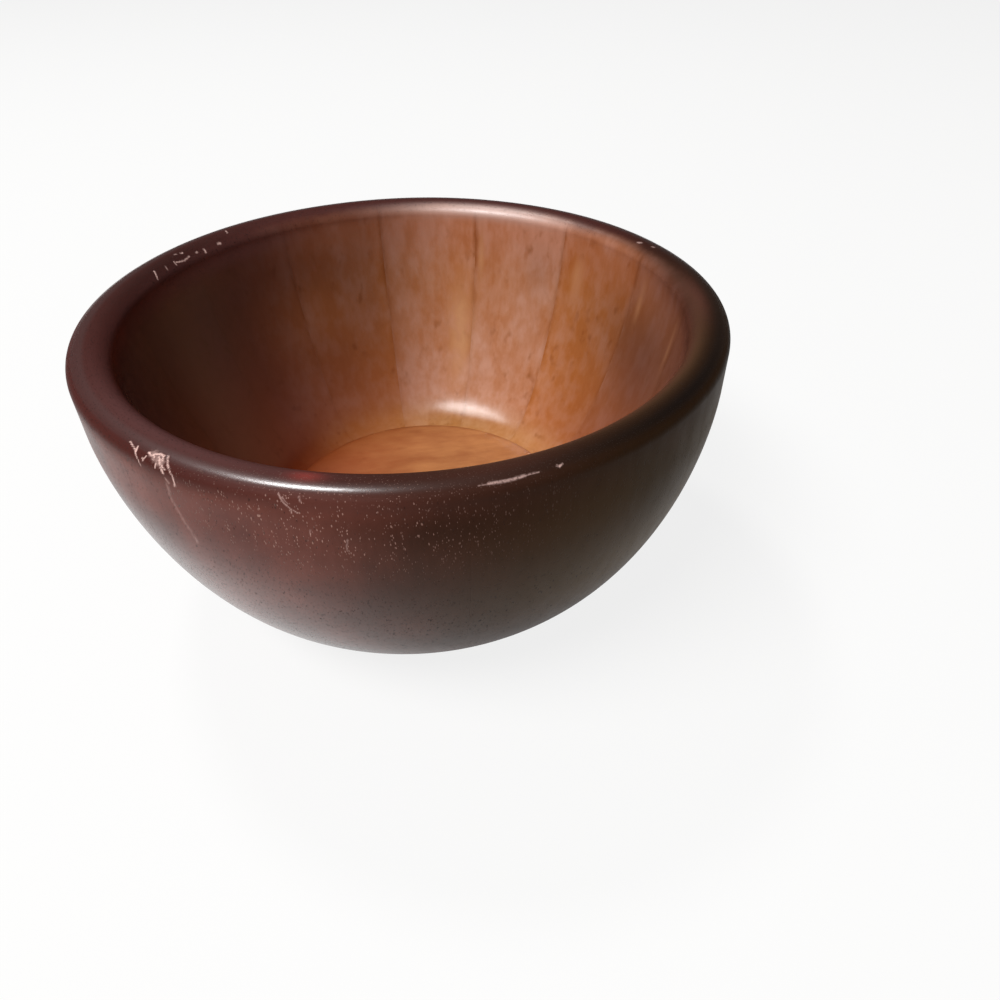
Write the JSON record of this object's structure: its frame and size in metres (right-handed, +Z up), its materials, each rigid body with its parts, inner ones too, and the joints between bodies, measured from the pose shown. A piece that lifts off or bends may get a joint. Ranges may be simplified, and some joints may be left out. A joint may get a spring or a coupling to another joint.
{
  "type": "wooden bowl",
  "caption": "Round coopered wooden bowl with a rounded lip, a deep open inside and a flat foot, glued up from bevelled staves round a stepped base disc.",
  "frame": {"origin": "centre of the foot, on the surface that the bowl stands on", "axes": "+Z up along the bowl's axis, from the foot to the open rim"},
  "size_m": [0.152, 0.152, 0.073],
  "materials": {
    "stained_wall": "satin lacquer",
    "stained_floor": "satin lacquer"
  },
  "bodies": {
    "root": {"stave_01": "stained_wall", "stave_02": "stained_wall", "stave_03": "stained_wall", "stave_04": "stained_wall", "stave_05": "stained_wall", "stave_06": "stained_wall", "stave_07": "stained_wall", "stave_08": "stained_wall", "stave_09": "stained_wall", "stave_10": "stained_wall", "stave_11": "stained_wall", "stave_12": "stained_wall", "stave_13": "stained_wall", "stave_14": "stained_wall", "base_disc": "stained_floor"}
  },
  "joints": []
}
